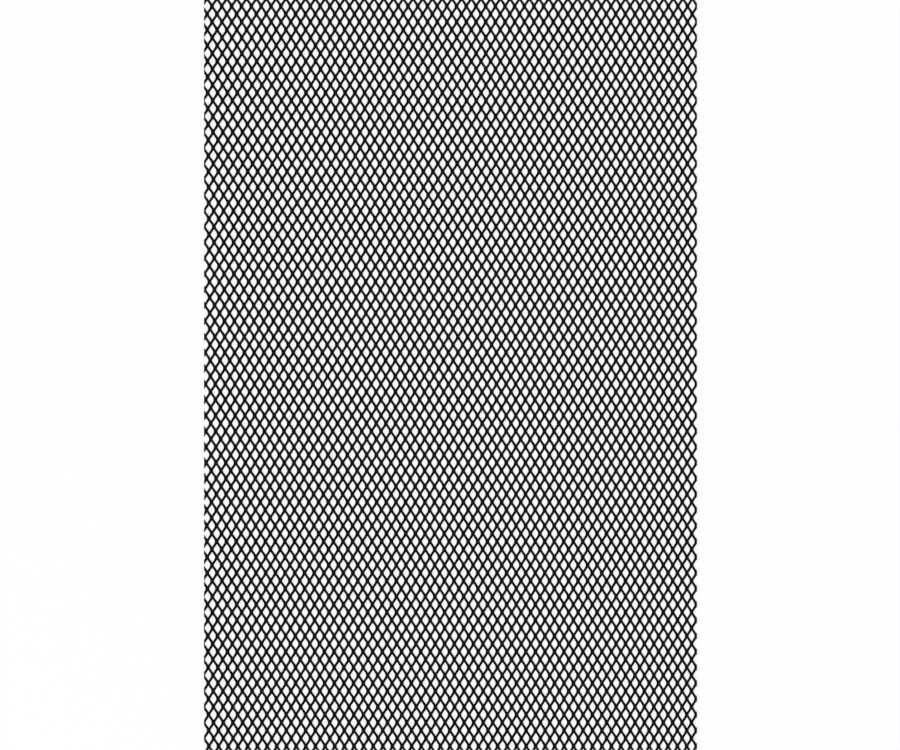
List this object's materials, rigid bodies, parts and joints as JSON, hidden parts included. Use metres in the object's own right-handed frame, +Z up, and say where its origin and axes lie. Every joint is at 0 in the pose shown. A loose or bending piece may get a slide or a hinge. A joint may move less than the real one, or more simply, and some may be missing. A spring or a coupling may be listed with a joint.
{
  "type": "expanded aluminium micro mesh sheet",
  "caption": "Flat sheet of raised expanded aluminium micro mesh with a thin black finish and small diamond openings, cut square at its edges.",
  "frame": {"origin": "under the middle of the sheet, on the surface that it lies on", "axes": "+X across the sheet (short way of the mesh), +Y along the sheet (long way of the mesh), +Z up through the sheet"},
  "size_m": [0.15, 0.23, 0.001],
  "materials": {
    "black_mesh": "satin black coating"
  },
  "bodies": {
    "root": {"mesh_near_left": "black_mesh", "mesh_near_centre_left": "black_mesh", "mesh_near_centre_right": "black_mesh", "mesh_near_right": "black_mesh", "mesh_middle_left": "black_mesh", "mesh_middle_centre_left": "black_mesh", "mesh_middle_centre_right": "black_mesh", "mesh_middle_right": "black_mesh", "mesh_far_left": "black_mesh", "mesh_far_centre_left": "black_mesh", "mesh_far_centre_right": "black_mesh", "mesh_far_right": "black_mesh"}
  },
  "joints": []
}
